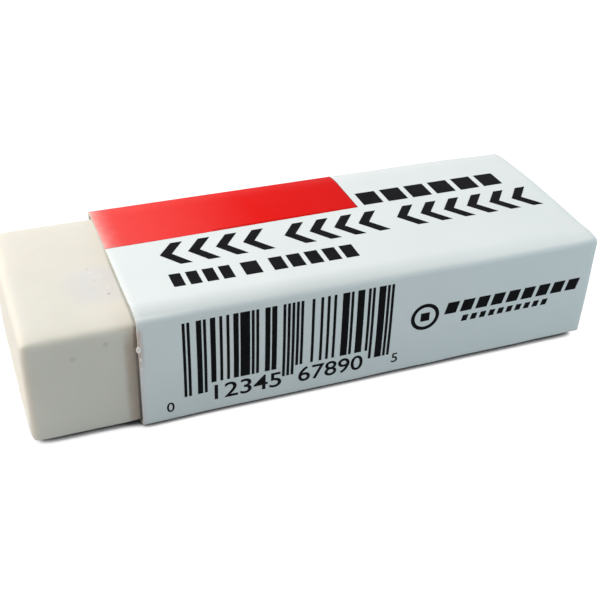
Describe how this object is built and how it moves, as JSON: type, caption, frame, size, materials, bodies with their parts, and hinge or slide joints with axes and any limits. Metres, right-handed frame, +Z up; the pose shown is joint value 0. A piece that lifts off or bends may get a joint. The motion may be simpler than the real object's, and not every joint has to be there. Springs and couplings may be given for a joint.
{
  "type": "rubber eraser",
  "caption": "Oblong vinyl eraser block in a folded card sleeve that slides along it, the block's rubbing end standing out of the sleeve's mouth.",
  "frame": {"origin": "under the middle of the whole eraser, on the surface that it lies on", "axes": "+X along the length, away from the rubbing end that stands out; +Y across the width, towards the sleeve's glued lap; +Z up, out of the wide printed face"},
  "size_m": [0.0654, 0.0244, 0.014],
  "materials": {
    "coated_card": "white card with a thin semi-gloss coating",
    "red_print": "flat red printed under the card's coating",
    "black_print": "black printed under the card's coating",
    "vinyl": "off-white soft vinyl, matt and slightly waxy"
  },
  "bodies": {
    "sleeve": {"card_sleeve": "coated_card"},
    "block": {"eraser_block": "vinyl"}
  },
  "joints": [
    {"name": "block_slide", "type": "slide", "parent": "sleeve", "child": "block", "axis": [1, 0, 0], "range_m": [-0.054, 0.066]}
  ]
}
